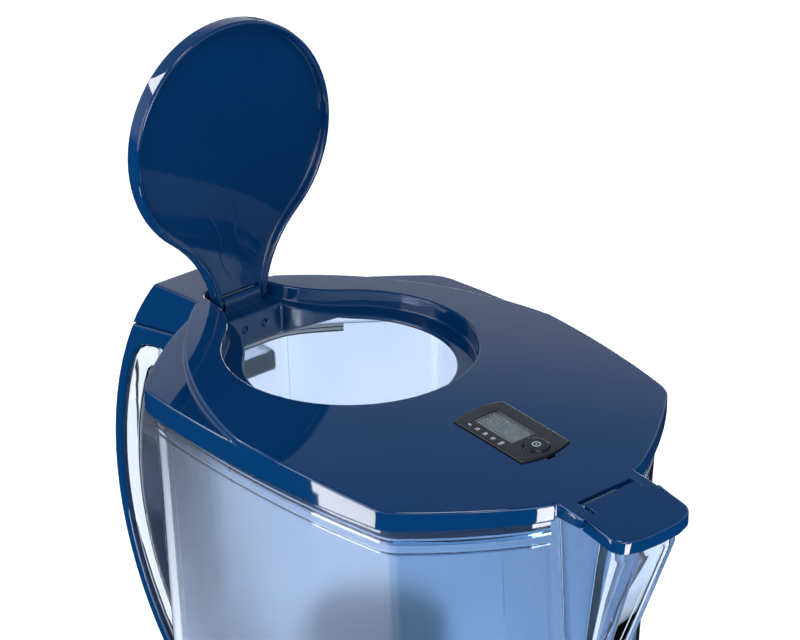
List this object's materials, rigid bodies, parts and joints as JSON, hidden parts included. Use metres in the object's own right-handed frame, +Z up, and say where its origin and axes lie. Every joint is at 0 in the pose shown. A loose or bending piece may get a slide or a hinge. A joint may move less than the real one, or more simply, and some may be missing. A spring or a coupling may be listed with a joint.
{
  "type": "water filter pitcher",
  "caption": "Clear water filter pitcher with a navy lid, an open round fill flap, a hinged spout flap, a filter-change indicator and a curved handle.",
  "frame": {"origin": "on the face it stands on, below the middle of the lid, 54 mm in front of the lid's rear panel", "axes": "+X to the spout, -X to the handle, +Y to the object's left seen from the handle, +Z up"},
  "size_m": [0.2578, 0.1358, 0.3513],
  "materials": {
    "clear_plastic": "clear, glossy",
    "navy_plastic": "glossy",
    "frosted_plastic": "pale blue, see-through",
    "white_plastic": "satin",
    "silicone": "matte",
    "filter_mesh": "woven",
    "filter_media": "granular",
    "steel": "bright",
    "black_plastic": "satin",
    "lcd_window": "clear",
    "lcd_glass": "satin",
    "contact_rubber": "matte",
    "circuit_board": "satin",
    "chip_resin": "matte",
    "brass": "bright"
  },
  "bodies": {
    "jug": {"jug_body": "clear_plastic", "handle_core": "clear_plastic", "handle_cover": "navy_plastic"},
    "funnel": {"funnel": "frosted_plastic"},
    "cartridge": {"cartridge_shell": "white_plastic", "cartridge_cap": "white_plastic", "cartridge_seal": "silicone", "top_mesh": "filter_mesh", "filter_media": "filter_media", "bottom_mesh": "filter_mesh"},
    "lid": {"lid": "navy_plastic", "flap_pin": "steel", "spout_pin": "steel"},
    "flap": {"flap": "navy_plastic"},
    "spout_flap": {"spout_flap": "navy_plastic"},
    "indicator": {"indicator_case": "black_plastic", "indicator_back": "black_plastic", "lcd_window": "lcd_window", "lcd_panel": "lcd_glass", "contact_strip": "contact_rubber", "circuit_board": "circuit_board", "chip_cap": "chip_resin", "switch_dome": "steel", "coin_cell": "steel", "cell_clips": "brass"},
    "button": {"button": "black_plastic"}
  },
  "joints": [
    {"name": "funnel_lift", "type": "slide", "parent": "jug", "child": "funnel", "axis": [0, 0, 1], "range_m": [0, 0.2]},
    {"name": "lid_lift", "type": "slide", "parent": "funnel", "child": "lid", "axis": [0, 0, 1], "range_m": [0, 0.06]},
    {"name": "cartridge_lift", "type": "slide", "parent": "funnel", "child": "cartridge", "axis": [0, 0, 1], "range_m": [0, 0.05]},
    {"name": "flap_hinge", "type": "hinge", "parent": "lid", "child": "flap", "pos_m": [-0.0505, 0, 0.2516], "axis": [0, 1, 0], "range_deg": [0, 92]},
    {"name": "spout_flap_hinge", "type": "hinge", "parent": "lid", "child": "spout_flap", "pos_m": [0.132, 0, 0.2485], "axis": [0, -1, 0], "range_deg": [0, 60]},
    {"name": "indicator_lift", "type": "slide", "parent": "lid", "child": "indicator", "axis": [0.0639, 0, 0.998], "range_m": [0, 0.012]},
    {"name": "button_press", "type": "slide", "parent": "indicator", "child": "button", "axis": [-0.0639, 0, -0.998], "range_m": [0, 0.0008], "stiffness_N_per_m": 600}
  ]
}
